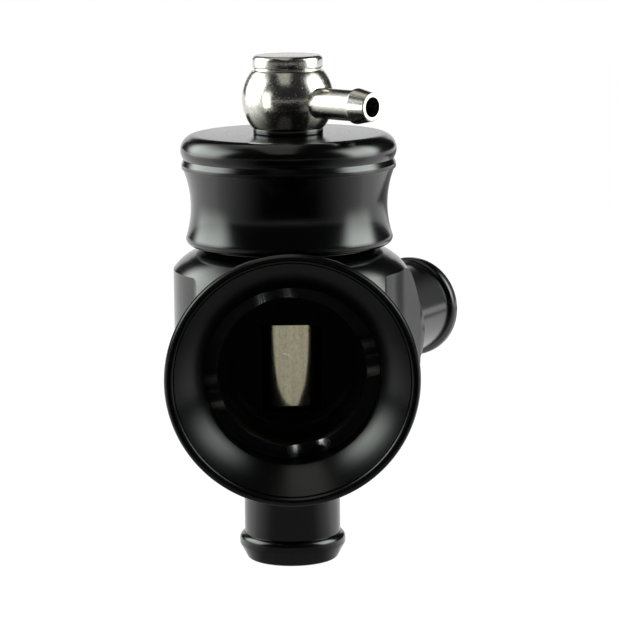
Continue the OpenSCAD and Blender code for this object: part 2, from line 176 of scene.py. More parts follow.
def spin(name, outline, place=Matrix.Identity(4), steps=144):
    """Turn a half section, given in millimetres, round its Z axis and put the piece in its place."""
    piece = draw(name, [Vector((r, 0, z)) * MM for r, z in outline])
    bpy.ops.mesh.spin(steps=steps, angle=math.tau, center=(0, 0, 0), axis=(0, 0, 1))
    close_mesh()
    piece.matrix_world = place
    bpy.ops.object.transform_apply(location=True, rotation=True, scale=True)
    return piece


def pick(*pieces):
    """Select these pieces alone and make the first one active."""
    bpy.ops.object.select_all(action="DESELECT")
    for piece in pieces:
        piece.select_set(True)
    bpy.context.view_layer.objects.active = pieces[0]


def smooth(piece, angle=32):
    """Shade a piece smooth, apart from edges that turn by more than the angle."""
    pick(piece)
    bpy.ops.object.shade_smooth_by_angle(angle=math.radians(angle))


def apply_modifier(piece, kind, **settings):
    """Add one modifier with its settings and apply it."""
    pick(piece)
    bpy.ops.object.modifier_add(type=kind)
    modifier = piece.modifiers[-1]
    for setting, value in settings.items():
        setattr(modifier, setting, value)
    bpy.ops.object.modifier_apply(modifier=modifier.name)


def carve(piece, tool, operation="DIFFERENCE"):
    """Cut, join or intersect a piece with a tool, which is then thrown away."""
    apply_modifier(piece, "BOOLEAN", object=tool, operation=operation, solver="EXACT")
    bpy.data.objects.remove(tool)


def break_edges(piece, width, segments=3, angle=28):
    """Bevel the crisp edges and keep the broad faces flat in the shading."""
    apply_modifier(piece, "BEVEL", width=width * MM, segments=segments, limit_method="ANGLE",
                   angle_limit=math.radians(angle))
    smooth(piece)
    apply_modifier(piece, "WEIGHTED_NORMAL", keep_sharp=True)


print("helpers ready")

# %% [markdown]
# ## Where the ports point
# A port is drawn along +Z from the valve axis. A matrix then tips it over: the trumpet points towards -Y, the inlet
# hangs down, and the rear tail and the nipple take their directions from the part's mounts.

# %% Port frames
mounts = {mount["name"]: mount for mount in frame["record"]["mounts"]}


def along(direction, origin):
    """Matrix that lays +Z along a direction, from an origin in millimetres."""
    turn = Vector(direction).to_track_quat("Z", "Y").to_matrix().to_4x4()
    return Matrix.Translation(Vector(origin) * MM) @ turn


axis_frame = Matrix.Translation((0, 0, port_h * MM))
trumpet_frame = along((0, -1, 0), (0, 0, port_h))
recirc_axis = Vector(mounts["recirc_tail"]["axis"])
recirc_frame = along(recirc_axis, (0, 0, port_h))
inlet_frame = along((0, 0, -1), (0, 0, port_h))
nipple_axis = Vector(mounts["signal_nipple"]["axis"])
nipple_h = mounts["signal_nipple"]["pos_m"][2] / MM
nipple_frame = along(nipple_axis, (0, 0, nipple_h))
recirc_azimuth = math.degrees(math.atan2(recirc_axis.y, recirc_axis.x))
print(f"rear tail at {recirc_azimuth:.1f} degrees, nipple {nipple_h:.2f} mm up")

# %% [markdown]
# ## The body
# On the real valve the body is one aluminium billet: turned top and bottom into convex shoulders, then milled in
# plan to leave a boss for the trumpet and a boss for the rear tail. The same two steps make it here. The turned
# blank is spun, the milled plan is a prism, and what they share is the body. Stepped cutters then bore it.

# %% Plan of the milled body
barrel_r = -body_low.x
front_face = -body_low.y
shoulder_edge_h = 21.5
shoulder_round = 13
shoulder_slope = 55
front_boss = 47.4 / 2
front_fillet = 6
side_boss = 43 / 2
side_face = 33.5
neck_r = 22.4
neck_top = body_high.z - port_h


def ring(radius, start, end, step=2.5):
    """Points on a circle round the valve axis, in plan."""
    steps = max(2, round(abs(end - start) / step))
    return arc(0, 0, radius, start, end, steps)


fillet_y = -math.sqrt((barrel_r + front_fillet) ** 2 - (front_boss + front_fillet) ** 2)
fillet_turn = math.degrees(math.atan2(fillet_y, front_boss + front_fillet))
side_turn = math.degrees(math.atan2(side_boss, side_face)
                         + math.acos(barrel_r / math.hypot(side_face, side_boss)))
side_reach = math.hypot(side_face, side_boss)
side_spread = math.degrees(math.atan2(side_boss, side_face))
right_fillet = arc(front_boss + front_fillet, fillet_y, front_fillet, 180, 180 + fillet_turn)
left_fillet = [(-x, y) for x, y in reversed(right_fillet)]
plan = ([(-front_boss, -front_face), (front_boss, -front_face)] + right_fillet
        + ring(barrel_r, fillet_turn, recirc_azimuth - side_turn)[1:]
        + ring(side_reach, recirc_azimuth - side_spread, recirc_azimuth + side_spread, 2 * side_spread)[::2]
        + ring(barrel_r, recirc_azimuth + side_turn, 180 - fillet_turn)
        + left_fillet[1:])
print("plan outline:", len(plan), "points")

# %% [markdown]
# The blank's half section has the convex shoulders and the neck. The prism stands for the path of the milling cutter
# round it: what lies outside is cut away.

# %% Blank and plan
shoulder_r = barrel_r - shoulder_round * math.sin(math.radians(shoulder_slope))
shoulder_z = shoulder_edge_h - shoulder_round * math.cos(math.radians(shoulder_slope))
body_half_h = shoulder_z + shoulder_round
roof_r = side_reach + 1
roof_z = shoulder_edge_h - (roof_r - barrel_r) * math.tan(math.radians(shoulder_slope))
upper_edge = [(roof_r, roof_z)] + arc(shoulder_r, shoulder_z, shoulder_round, 90 - shoulder_slope, 90, 16)
lower_edge = [(r, -z) for r, z in reversed(upper_edge)]
blank = section((0, -body_half_h), *lower_edge, *upper_edge, (neck_r, body_half_h), (neck_r, neck_top, 0.6),
                (0, neck_top))
body = spin("valve_body_billet", blank[:-1], axis_frame, steps=180)

prism = draw("plan_prism", [Vector((x, y, 0)) * MM for x, y in plan + plan[:1]])
bpy.ops.mesh.remove_doubles(threshold=MERGE)
bpy.ops.mesh.edge_face_add()
bpy.ops.mesh.extrude_region_move(TRANSFORM_OT_translate={"value": (0, 0, 2 * (body_half_h + neck_top) * MM)})
close_mesh()
prism.matrix_world = Matrix.Translation((0, 0, (port_h - body_half_h - neck_top) * MM))
carve(body, prism, "INTERSECT")
print("milled body:", len(body.data.polygons), "faces")

# %% [markdown]
# The bores are stepped cutters, one for each port. The one on the valve axis holds the tail's threaded hole, the
# seat, the flow chamber and the piston's guide. The other two are the trumpet's seat and the rear tail's hole.

# %% Bores
piston_r = 15
guide_r = piston_r + 0.3
chamber_r = 19.5
seat_z = -13.4
chamber_roof = 9.2
flow_r = 11.5
spigot_hole_r = 14.1
spigot_hole_l = 9.5
throat_hole_r = 15.9
throat_floor = 18
nut_hole_r = 20
nut_floor = 22.9
past = 2
fit_gap = 0.1

valve_bore = [(0, -body_half_h - past), (spigot_hole_r, -body_half_h - past),
              (spigot_hole_r, spigot_hole_l - body_half_h), (flow_r, spigot_hole_l - body_half_h), (flow_r, seat_z),
              (chamber_r, seat_z), (chamber_r, chamber_roof), (guide_r, chamber_roof), (guide_r, neck_top + past),
              (0, neck_top + past)]
trumpet_bore = [(0, throat_floor), (throat_hole_r, throat_floor), (throat_hole_r, nut_floor),
                (nut_hole_r, nut_floor), (nut_hole_r, front_face + past), (0, front_face + past)]
recirc_bore = [(0, piston_r + past), (flow_r, piston_r + past), (flow_r, side_face - spigot_hole_l),
               (spigot_hole_r, side_face - spigot_hole_l), (spigot_hole_r, side_face + past),
               (0, side_face + past)]
for bore, place in ((valve_bore, axis_frame), (trumpet_bore, trumpet_frame), (recirc_bore, recirc_frame)):
    carve(body, spin("cutter", bore, place, steps=128))
break_edges(body, 0.3)
print("bored body:", len(body.data.polygons), "faces")

# %% [markdown]
# ## The cap
# The cap screws onto the body's neck and holds the spring. Its outside is a waist swept between a rounded top disc
# and a thin rolled edge, with a fine bead under the disc. All of it is one half section.

# %% Cap
cap_r = cap_high.x
cap_top = cap_high.z - port_h
cap_bottom = cap_low.z - port_h
cap_edge_round = 4
cap_edge_z = cap_top - cap_edge_round
cap_waist_r = 25.3
cap_waist_z = cap_bottom + 10.1
cap_sweep = 25.5
cap_groove_z = cap_edge_z - 2.3
cap_bead_r = cap_r - 0.2
cap_bead_z = cap_groove_z - 1.3
cap_bead_low = cap_bead_z - 1.2
cap_lower_round = 1.9
cap_pocket_r = 13.6
cap_top_t = 4
bolt_r = 4.9
groove_turn = -math.degrees(math.asin((cap_edge_z - cap_groove_z) / cap_edge_round))
sweep_top = math.degrees(math.asin((cap_bead_low - cap_waist_z) / cap_sweep))
sweep_low = math.degrees(math.asin((cap_waist_z - cap_bottom - cap_lower_round) / cap_sweep))
skirt_r = cap_waist_r + cap_sweep * (1 - math.cos(math.radians(sweep_low)))
cap_side = (arc(skirt_r - cap_lower_round, cap_bottom + cap_lower_round, cap_lower_round, -90, 0, 8)
            + arc(cap_waist_r + cap_sweep, cap_waist_z, cap_sweep, 180 + sweep_low, 180 - sweep_top, 24)[1:])
cap = spin("waisted_cap", section(
    (neck_r + fit_gap, neck_top), (neck_r + fit_gap, cap_bottom, 0.5), *cap_side, (cap_bead_r, cap_bead_low, 0.25),
    (cap_bead_r, cap_bead_z, 0.5), *arc(cap_r - cap_edge_round, cap_edge_z, cap_edge_round, groove_turn, 90, 18),
    (bolt_r + fit_gap, cap_top), (bolt_r + fit_gap, cap_top - cap_top_t), (cap_pocket_r, cap_top - cap_top_t),
    (cap_pocket_r, neck_top)), axis_frame, steps=192)
smooth(cap)
print("cap:", len(cap.data.polygons), "faces")

# %% [markdown]
# ## The trumpet and its ring nut
# The trumpet is a short tube that opens into a flat, slightly rounded cone with a rolled lip. A grooved ring nut
# inside its throat clamps it to the body. The bell is spun from an arc between two slopes, and the lip is most of a
# circle, as the edge of a rolled sheet would be.

# %% Trumpet
lip_r = trumpet_high.x
trumpet_reach = -trumpet_low.y
lip_round = 1.25
throat_r = 22.1
throat_edge = front_face + 4.4
hub_r = 25.5
bell_wall = 2.3
bell_start, bell_end = 42, 58
nut_seat = front_face + 2
start_slope, end_slope = math.radians(bell_start), math.radians(bell_end)
bell_round = (lip_r - 2 * lip_round - throat_r) / (math.cos(start_slope) - math.cos(end_slope))
bell_foot = trumpet_reach - lip_round - bell_round * (math.sin(end_slope) - math.sin(start_slope))
bell_centre = (throat_r + bell_round * math.cos(start_slope), bell_foot - bell_round * math.sin(start_slope))
hub_turn, lip_turn = (math.degrees(math.acos((bell_centre[0] - r) / (bell_round - bell_wall)))
                      for r in (hub_r, lip_r - lip_round))
trumpet = spin("trumpet_bell", section(
    (nut_hole_r + fit_gap, front_face), (hub_r, front_face, 0.3),
    *arc(*bell_centre, bell_round - bell_wall, 180 - hub_turn, 180 - lip_turn, 16),
    *arc(lip_r - lip_round, trumpet_reach - lip_round, lip_round, -90, 180, 24),
    *arc(*bell_centre, bell_round, 180 - bell_end, 180 - bell_start, 24)[1:-1],
    (throat_r, bell_foot, 0.25), (throat_r, nut_seat), (nut_hole_r + fit_gap, nut_seat)), trumpet_frame, steps=224)
smooth(trumpet)
print("trumpet:", len(trumpet.data.polygons), "faces")

# %% [markdown]
# The nut's collar rests on the step inside the trumpet, and its spigot screws into the body. The four grooves take a
# spanner. Each one is the track of a round cutter, so two crossed cylinders cut all four. They stand a little turned,
# as the nut came to rest when it was tightened.

# %% Ring nut
nut_r = throat_r - 0.2
nut_bore_r = 18.7
nut_spigot_r = 19.9
nut_spigot_l = 7.8
groove_w = 10.6
groove_depth = 2.2
groove_round = ((groove_w / 2) ** 2 + groove_depth ** 2) / (2 * groove_depth)
nut_turn = 12
nut = spin("grooved_ring_nut", section(
    (nut_bore_r, nut_seat - nut_spigot_l), (nut_spigot_r, nut_seat - nut_spigot_l), (nut_spigot_r, nut_seat),
    (nut_r, nut_seat), (nut_r, throat_edge), (nut_bore_r, throat_edge)), trumpet_frame, steps=160)
for quarter in range(2):
    bpy.ops.object.select_all(action="DESELECT")
    bpy.ops.mesh.primitive_cylinder_add(radius=groove_round * MM, depth=2.2 * nut_r * MM, vertices=160)
    cutter = bpy.context.object
    cutter.matrix_world = (trumpet_frame @ Matrix.Rotation(math.radians(nut_turn + 90 * quarter), 4, "Z")
                           @ Matrix.Translation((0, 0, (throat_edge - groove_depth + groove_round) * MM))
                           @ Matrix.Rotation(math.radians(90), 4, "Y"))
    carve(nut, cutter)
break_edges(nut, 0.18)
print("ring nut:", len(nut.data.polygons), "faces")

# %% [markdown]
# ## The hose tails
# Each tail is a tube with a rolled bead, screwed into the body by a short spigot. Under the flange a narrow gap
# keeps the tail off the body's face, and it shows as a dark line. One section serves both tails.

# %% Hose tails
tail_r = 12.5
tail_bore_r = 10.8
spigot_r = 14
spigot_l = 9.4
collar_t = 4.3
flange_seat_t = 0.8
inlet_neck_r = spigot_r + 0.05
recirc_flange_r = 21
recirc_neck_r = 18.4
bead_r = mounts["inlet_bead"]["dims"]["r_mm"]
bead_round = 1.7
bead_land = mounts["inlet_bead"]["dims"]["length_mm"]
bead_l = 7
tip_r = tail_r - 0.7
tip_break = 0.4
bore_break = 0.5


def hose_tail(name, seat, plain_l, flange_r, neck_r, place):
    """Tail with a spigot below its seat, a flange on a neck, a plain length and a bead at the tip."""
    flange = seat + collar_t
    step = flange + plain_l
    tip = step + bead_l
    meet = math.degrees(math.asin((bead_r - bead_round - tail_r) / bead_round))
    tail = spin(name, section(
        (tail_bore_r, seat - spigot_l), (spigot_r, seat - spigot_l, 0.5), (spigot_r, seat), (neck_r, seat),
        (neck_r, seat + flange_seat_t), (flange_r, seat + flange_seat_t, 0.3), (flange_r, flange, 0.6),
        (tail_r, flange, 0.4), *arc(bead_r - bead_round, step + bead_round, bead_round, -90 - meet, 0, 14),
        (bead_r, step + bead_round + bead_land, 0.4), (tip_r, tip - tip_break, 1.2),
        (tail_bore_r + tip_break, tip, 0.2), (tail_bore_r, tip - bore_break)), place, steps=144)
    smooth(tail)
    return tail


inlet = hose_tail("inlet_hose_tail", body_half_h, mounts["inlet_tail"]["dims"]["length_mm"],
                  extent("inlet_tail")[1].x, inlet_neck_r, inlet_frame)
crest = math.hypot(*mounts["recirc_tail"]["pos_m"][:2]) / MM
recirc_plain = crest - bead_land / 2 - bead_round - collar_t - side_face
recirc = hose_tail("rear_hose_tail", side_face, recirc_plain, recirc_flange_r, recirc_neck_r,
                   recirc_frame)
print("tails:", len(inlet.data.polygons), "and", len(recirc.data.polygons), "faces")

# %% [markdown]
# ## The signal fitting
# A banjo is a ball with two flats that turns round a hollow bolt, so its nipple can face any hose. The ball and the
# nipple are spun apart, joined, and bored through. A small bevel softens the join as plating would.

# %% Banjo ball and nipple
ball_low, ball_high = extent("banjo_fitting")
ball_mid = (ball_low.z + ball_high.z) / 2 - port_h
ball_half = (ball_high.z - ball_low.z) / 2
ball_r = 11.75
flat_turn = math.degrees(math.asin(ball_half / ball_r))
banjo_bore_r = 5.35
gallery_r = 7.95
gallery_half = 3
nipple_r = 3.9
nipple_bore_r = 2.55
nipple_reach = 29.5
barb_l = 5.3
barb_r = mounts["signal_nipple"]["dims"]["r_mm"]
barb_land = mounts["signal_nipple"]["dims"]["length_mm"]
barb_tip_r = 3.55
ball_frame = Matrix.Translation((0, 0, (port_h + ball_mid) * MM))
banjo = spin("banjo_ball", section(
    (banjo_bore_r, -ball_half), *arc(0, 0, ball_r, -flat_turn, flat_turn, 36), (banjo_bore_r, ball_half),
    (banjo_bore_r, gallery_half), (gallery_r, gallery_half), (gallery_r, -gallery_half),
    (banjo_bore_r, -gallery_half)), ball_frame, steps=128)
nipple_root = gallery_r + 0.6
nipple = spin("nipple", section(
    (0, nipple_root), (nipple_r, nipple_root), (nipple_r, nipple_reach - barb_l),
    (barb_r, nipple_reach - barb_l, 0.2), (barb_r, nipple_reach - barb_l + barb_land, 0.2),
    (barb_tip_r, nipple_reach, 0.35), (0, nipple_reach))[:-1],
    nipple_frame, steps=96)
carve(banjo, nipple, "UNION")
nipple_bore = [(0, banjo_bore_r), (nipple_bore_r, banjo_bore_r), (nipple_bore_r, nipple_reach + past),
               (0, nipple_reach + past)]
carve(banjo, spin("cutter", nipple_bore, nipple_frame, steps=64))
break_edges(banjo, 0.35)
print("banjo:", len(banjo.data.polygons), "faces")

# %% [markdown]
# The bolt's flat round head clamps the ball between two sealing washers, a thin bright one above and a black one
# below. All three are plain turned pieces, so their widths and heights are read from their solids.

# %% Bolt and washers
bolt_low, bolt_high = extent("banjo_bolt")
head_r = bolt_high.x
head_top = bolt_high.z - port_h
head_seat = head_top - 3.1
bolt_end = bolt_low.z - port_h
bolt = spin("banjo_bolt_turned", section(
    (0, bolt_end), (bolt_r, bolt_end, 0.5), (bolt_r, head_seat), (head_r, head_seat, 0.35), (head_r, head_top, 1),
    (0, head_top))[:-1], axis_frame, steps=128)
smooth(bolt)


def washer(name, node, bore_r, rounding):
    """Flat ring as wide and as thick as its solid, with rounded outer edges."""
    low, high = extent(node)
    piece = spin(name, section((bore_r, low.z), (high.x, low.z, rounding), (high.x, high.z, rounding),
                               (bore_r, high.z)), steps=112)
    smooth(piece)
    return piece


upper_washer = washer("upper_seal_washer", "upper_washer", bolt_r + 0.3, 0.2)
lower_washer = washer("lower_seal_washer", "lower_washer", bolt_r + 0.3, 0.35)
print("bolt:", len(bolt.data.polygons), "faces")

# %% [markdown]
# ## The piston
# The piston is a thin hard-anodised cup. Only a strip of its side shows through the throat, but the whole cup is
# turned, with the grooves of its rings, because its lower end comes into view as it lifts.

# %% Piston
piston_low, piston_high = extent("piston")
piston_bottom = piston_low.z
piston_top = piston_high.z
cup_r = 12.6
cup_floor = piston_bottom + 4
seal_z = piston_top - 10
seal_half = 0.95
seal_floor_r = piston_r - 1.75
ring_floor_r = piston_r - 1.2
ring_low = piston_top - 6
ring_high = ring_low + 4
seat_groove = (12, 13.9)
seat_groove_top = piston_bottom + 1.45
piston = spin("piston_cup", section(
    (0, piston_bottom), (seat_groove[0], piston_bottom), (seat_groove[0], seat_groove_top),
    (seat_groove[1], seat_groove_top), (seat_groove[1], piston_bottom), (piston_r, piston_bottom, 0.6),
    (piston_r, seal_z - seal_half), (seal_floor_r, seal_z - seal_half), (seal_floor_r, seal_z + seal_half),
    (piston_r, seal_z + seal_half), (piston_r, ring_low), (ring_floor_r, ring_low), (ring_floor_r, ring_high),
    (piston_r, ring_high), (piston_r, piston_top, 0.4), (cup_r, piston_top, 0.4), (cup_r, cup_floor, 1),
    (0, cup_floor))[:-1], steps=144)
smooth(piston)
print("piston:", len(piston.data.polygons), "faces")

# %% [markdown]
# ## The spring
# A compression spring closes the valve. Its wire is a small circle swept by a screw: one flat turn at each end and
# open turns between. It rides on the body; on the real valve it is pressed shorter towards the cap as the piston
# lifts.

# %% Spring sizes
spring_low, spring_high = extent("spring")
wire_r = 1.05
coil_r = spring_high.x - wire_r
end_pitch = 2 * wire_r
open_turns = 7
open_rise = spring_high.z - spring_low.z - 2 * wire_r - 2 * end_pitch
stages = ((1, end_pitch), (open_turns, open_rise), (1, end_pitch))
turn_steps = 48
print(f"wire {2 * wire_r} mm, open pitch {open_rise / open_turns:.2f} mm")

# %% [markdown]
# Each stretch of the spring is one circle of wire that a screw carries up round the axis. The stretches meet end to
# end, so the joined wire is welded where they touch and closed at its two ends.

# %% Spring


def coil(height, turns, rise):
    """One stretch of the spring: a circle of wire screwed up round the axis."""
    bpy.ops.object.select_all(action="DESELECT")
    bpy.ops.mesh.primitive_circle_add(vertices=14, radius=wire_r * MM, location=(coil_r * MM, 0, height * MM),
                                      rotation=(math.pi / 2, 0, 0))
    stretch = bpy.context.object
    bpy.ops.object.transform_apply(location=True, rotation=True, scale=True)
    apply_modifier(stretch, "SCREW", angle=math.tau * turns, screw_offset=rise * MM, steps=turn_steps * turns,
                   render_steps=turn_steps * turns, use_merge_vertices=False)
    return stretch


stretches = []
height = spring_low.z + wire_r
for turns, rise in stages:
    stretches.append(coil(height, turns, rise))
    height += rise
pick(*stretches)
bpy.ops.object.join()
spring = stretches[0]
spring.name = spring.data.name = "valve_spring"
bpy.ops.object.mode_set(mode="EDIT")
bpy.ops.mesh.select_all(action="SELECT")
bpy.ops.mesh.remove_doubles(threshold=MERGE)
bpy.ops.mesh.select_all(action="DESELECT")
bpy.ops.mesh.select_non_manifold()
bpy.ops.mesh.edge_face_add()
close_mesh()
smooth(spring)
print("spring:", len(spring.data.polygons), "faces")

# %% [markdown]
# ## Finishes
# Anodising is a hard clear layer grown on the metal and dyed black, so its gloss is that of a clear coat over a
# near-black ground, broken by the turning marks under it. One node group makes those marks for every turned piece:
# noise that changes along the axis and across the radius but not round it, so it draws fine circles.

# %% Turning marks


def turned_marks():
    """Node group with two masks: fine circles round the Z axis, and a soft cloud."""
    group = bpy.data.node_groups.new("Turning marks", "ShaderNodeTree")
    sockets = group.interface
    sockets.new_socket("Vector", in_out="INPUT", socket_type="NodeSocketVector")
    sockets.new_socket("Lines per metre", in_out="INPUT", socket_type="NodeSocketFloat")
    sockets.new_socket("Lines", in_out="OUTPUT", socket_type="NodeSocketFloat")
    sockets.new_socket("Cloud", in_out="OUTPUT", socket_type="NodeSocketFloat")
    nodes, links = group.nodes, group.links
    come = nodes.new("NodeGroupInput")
    go = nodes.new("NodeGroupOutput")
    split = nodes.new("ShaderNodeSeparateXYZ")
    flat = nodes.new("ShaderNodeCombineXYZ")
    radius = nodes.new("ShaderNodeVectorMath")
    radius.operation = "LENGTH"
    pair = nodes.new("ShaderNodeCombineXYZ")
    lines = nodes.new("ShaderNodeTexNoise")
    lines.inputs["Detail"].default_value = 4
    cloud = nodes.new("ShaderNodeTexNoise")
    cloud.inputs["Scale"].default_value = 160
    cloud.inputs["Detail"].default_value = 3
    links.new(come.outputs["Vector"], split.inputs[0])
    links.new(split.outputs["X"], flat.inputs["X"])
    links.new(split.outputs["Y"], flat.inputs["Y"])
    links.new(flat.outputs[0], radius.inputs[0])
    links.new(radius.outputs["Value"], pair.inputs["X"])
    links.new(split.outputs["Z"], pair.inputs["Z"])
    links.new(pair.outputs[0], lines.inputs["Vector"])
    links.new(come.outputs["Lines per metre"], lines.inputs["Scale"])
    links.new(come.outputs["Vector"], cloud.inputs["Vector"])
    links.new(lines.outputs["Fac"], go.inputs["Lines"])
    links.new(cloud.outputs["Fac"], go.inputs["Cloud"])
    return group


MARKS = turned_marks()
print("group:", MARKS.name)

# %% [markdown]
# A finish is a short chain of nodes: a mask, a span of that mask, and the value that it sets. These helpers make each
# link of the chain once, for the materials and for the lamps.

# %% Node helpers
GRAIN_SPAN = (0.3, 0.7)
RELIEF = 0.05 * MM


def new_material(name):
    """Material with its nodes, its links and its shader."""
    material = bpy.data.materials.new(name)
    material.use_nodes = True
    nodes = material.node_tree.nodes
    return material, nodes, material.node_tree.links, nodes["Principled BSDF"]


def maths(owner, operation, *inputs):
    """One maths node of a material or lamp. An input is a socket or a number."""
    node = owner.node_tree.nodes.new("ShaderNodeMath")
    node.operation = operation
    for socket, value in zip(node.inputs, inputs):
        if isinstance(value, (int, float)):
            socket.default_value = value
        else:
            owner.node_tree.links.new(value, socket)
    return node.outputs["Value"]


def noise(material, vector, scale, detail=3):
    """Noise of a given scale, as a mask."""
    node = material.node_tree.nodes.new("ShaderNodeTexNoise")
    node.inputs["Scale"].default_value = scale
    node.inputs["Detail"].default_value = detail
    material.node_tree.links.new(vector, node.inputs["Vector"])
    return node.outputs["Fac"]


def ramp(material, source, span, low_colour, high_colour):
    """Colour ramp over a span of a mask."""
    node = material.node_tree.nodes.new("ShaderNodeValToRGB")
    for stop, position, colour in zip(node.color_ramp.elements, span, (low_colour, high_colour)):
        stop.position = position
        stop.color = (*colour, 1)
    material.node_tree.links.new(source, node.inputs["Fac"])
    return node.outputs["Color"]


def spread(owner, source, low, high, span=GRAIN_SPAN, curve="LINEAR"):
    """Map a span of a mask onto a range of values."""
    node = owner.node_tree.nodes.new("ShaderNodeMapRange")
    node.interpolation_type = curve
    for socket, value in zip(("From Min", "From Max", "To Min", "To Max"), (*span, low, high)):
        node.inputs[socket].default_value = value
    owner.node_tree.links.new(source, node.inputs["Value"])
    return node.outputs["Result"]


def grain_surface(material, stain, marks, dark, light, rough, bump):
    """Colour from one mask, gloss and height from another."""
    nodes, links = material.node_tree.nodes, material.node_tree.links
    shader = nodes["Principled BSDF"]
    relief = nodes.new("ShaderNodeBump")
    relief.inputs["Strength"].default_value = bump
    relief.inputs["Distance"].default_value = RELIEF
    links.new(ramp(material, stain, GRAIN_SPAN, dark, light), shader.inputs["Base Color"])
    links.new(spread(material, marks, *rough), shader.inputs["Roughness"])
    links.new(marks, relief.inputs["Height"])
    links.new(relief.outputs["Normal"], shader.inputs["Normal"])


print("node helpers ready")

# %% [markdown]
# The black pieces and the spring's wire differ only in colour, gloss and the axis that their marks run round. So one
# function makes them all, and the axis is the port frame that the piece was turned in.

# %% Turned metals


def turned_metal(name, axis, dark, light, rough, lines=3000, bump=0.02, **settings):
    """Metal with turning marks round an axis, which is a matrix that lays +Z along it."""
    material, nodes, links, shader = new_material(name)
    lay = nodes.new("ShaderNodeMapping")
    back = axis.inverted()
    lay.inputs["Location"].default_value = back.to_translation()
    lay.inputs["Rotation"].default_value = back.to_euler()
    marks = nodes.new("ShaderNodeGroup")
    marks.node_tree = MARKS
    marks.inputs["Lines per metre"].default_value = lines
    links.new(nodes.new("ShaderNodeTexCoord").outputs["Object"], lay.inputs["Vector"])
    links.new(lay.outputs["Vector"], marks.inputs["Vector"])
    grain_surface(material, marks.outputs["Cloud"], marks.outputs["Lines"], dark, light, rough, bump)
    for setting, value in settings.items():
        shader.inputs[setting].default_value = value
    return material


BLACK = (0.0003, 0.00033, 0.0004)
BLACK_LIGHT = (0.0006, 0.00065, 0.0008)
anodised = {"rough": (0.15, 0.21), "dark": BLACK, "light": BLACK_LIGHT, "IOR": 1.6}
axis_black = turned_metal("anodised black, turned", axis_frame, **anodised)
trumpet_black = turned_metal("anodised black, bell", trumpet_frame, **{**anodised, "rough": (0.2, 0.27)})
recirc_black = turned_metal("anodised black, rear tail", recirc_frame, **anodised)
wire = turned_metal("drawn spring wire", axis_frame, (0.36, 0.37, 0.38), (0.46, 0.47, 0.48), (0.25, 0.35),
                    Metallic=1.0)
print("metals ready")

# %% [markdown]
# The signal fitting is cast, tumbled and then nickel plated, so a fine grain shows through its shine. Rubber and
# polymer have a moulded grain. One speckle makes all three: it varies the colour, the gloss and the height.

# %% Grained materials


def speckled(name, dark, light, rough, scale, bump, metallic=0.0):
    """Grained surface: a fine speckle in colour, gloss and height."""
    material, nodes, _, shader = new_material(name)
    speckle = noise(material, nodes.new("ShaderNodeTexCoord").outputs["Object"], scale, detail=4)
    grain_surface(material, speckle, speckle, dark, light, rough, bump)
    shader.inputs["Metallic"].default_value = metallic
    return material


nickel = speckled("nickel plate", (0.5, 0.475, 0.43), (0.72, 0.695, 0.64), (0.13, 0.28), 2400, 0.16, 1.0)
rubber = speckled("moulded rubber", (0.012, 0.012, 0.012), (0.024, 0.024, 0.024), (0.5, 0.7), 1400, 0.2)
polymer = speckled("wear ring polymer", (0.5, 0.45, 0.36), (0.62, 0.57, 0.47), (0.35, 0.5), 900, 0.1)
print("grained materials ready")

# %% [markdown]
# The piston rubs in its guide with every lift, so its hard champagne layer is scored along the stroke. Three noises
# make that wear: one stretched along Z for the streaks, a fine one for the grain, and a slow one whose middle value
# draws a thin wandering line, kept only in a few patches as scratches.

# %% Worn piston
streak_scale, streak_stretch = 900, 0.04
grain_scale = 1500
wear_span = (0.35, 0.65)
line_scale, line_width = 90, 0.006
patch_scale, patch_from = 140, 0.56


def scored_metal(name, dark, light, bright, rough):
    """Metal with streaks along Z, a fine grain and a few bright scratches."""
    material, nodes, links, shader = new_material(name)
    place = nodes.new("ShaderNodeTexCoord").outputs["Object"]
    stretch = nodes.new("ShaderNodeMapping")
    stretch.inputs["Scale"].default_value = (1, 1, streak_stretch)
    links.new(place, stretch.inputs["Vector"])
    streaks = noise(material, stretch.outputs["Vector"], streak_scale)
    grain = noise(material, place, grain_scale)
    wear = maths(material, "MULTIPLY", maths(material, "ADD", streaks, grain), 0.5)
    off_line = maths(material, "ABSOLUTE", maths(material, "SUBTRACT", noise(material, place, line_scale), 0.5))
    line = maths(material, "LESS_THAN", off_line, line_width)
    patch = maths(material, "GREATER_THAN", noise(material, place, patch_scale), patch_from)
    scratch = nodes.new("ShaderNodeMix")
    scratch.data_type = "RGBA"
    links.new(maths(material, "MULTIPLY", line, patch), scratch.inputs["Factor"])
    links.new(ramp(material, wear, wear_span, dark, light), scratch.inputs["A"])
    scratch.inputs["B"].default_value = (*bright, 1)
    links.new(scratch.outputs["Result"], shader.inputs["Base Color"])
    links.new(spread(material, grain, *rough), shader.inputs["Roughness"])
    shader.inputs["Metallic"].default_value = 1
    return material


champagne = scored_metal("champagne hard anodising", (0.42, 0.385, 0.265), (0.68, 0.63, 0.45), (0.95, 0.92, 0.78),
                         (0.12, 0.15))
print("piston metal ready")

# %% [markdown]
# ## Putting it together
# Each made piece takes its finish, rides on the body that carries it, and stands in for its solid. The seals, the
# wear ring and the spring's washer stay hidden inside a closed valve, so their own solids show, dyed like rubber,
# polymer and steel. The spring is given a mesh of its own.

# %% Dress and place every piece


def dye(piece, material):
    """Give a piece one material."""
    piece.data.materials.clear()
    piece.data.materials.append(material)


